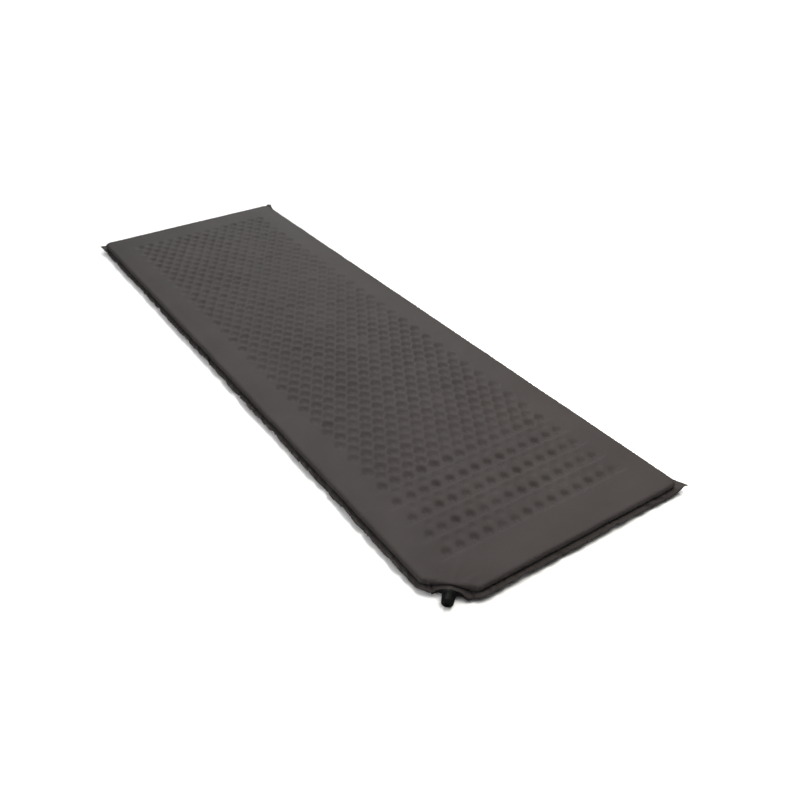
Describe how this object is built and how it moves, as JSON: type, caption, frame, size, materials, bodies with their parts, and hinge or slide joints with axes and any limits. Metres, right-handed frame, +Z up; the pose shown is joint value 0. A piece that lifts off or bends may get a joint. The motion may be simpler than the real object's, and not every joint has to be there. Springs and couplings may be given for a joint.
{
  "type": "self-inflating sleeping pad",
  "caption": "Flat foam-cored sleeping mat in a dimpled, edge-welded fabric skin, with a twist valve at its cut-off corner.",
  "frame": {"origin": "on the ground under the middle of the pad", "axes": "+X across the pad, +Y along it away from the valve end, +Z up through its thickness; the valve is at the -X -Y corner"},
  "size_m": [0.646, 1.984, 0.03],
  "materials": {
    "cover_fabric": "matte",
    "base_fabric": "matte",
    "foam": "matte",
    "valve_plastic": "satin",
    "cap_plastic": "satin",
    "washer_plastic": "satin",
    "seal_rubber": "matte"
  },
  "bodies": {
    "pad": {"top_cover": "cover_fabric", "bottom_cover": "base_fabric", "foam_core": "foam", "valve_base": "valve_plastic", "filter_screen": "valve_plastic", "stem_gasket": "seal_rubber", "valve_stem": "valve_plastic", "valve_plug": "valve_plastic", "plug_seal": "seal_rubber"},
    "cap_slider": {"skirt_seal": "seal_rubber", "slip_washer": "washer_plastic"},
    "cap": {"valve_cap": "cap_plastic"}
  },
  "joints": [
    {"name": "cap_travel", "type": "slide", "parent": "pad", "child": "cap_slider", "axis": [-0.7071, -0.7071, 0], "range_m": [0, 0.0046]},
    {"name": "cap_turn", "type": "hinge", "parent": "cap_slider", "child": "cap", "pos_m": [-0.2725, -0.9475, 0.014], "axis": [-0.7071, -0.7071, 0], "range_deg": [0, 540]}
  ],
  "couplings": [
    {"joint": "cap_travel", "follows": "cap_turn", "m_per_rad": 0.00047746}
  ]
}
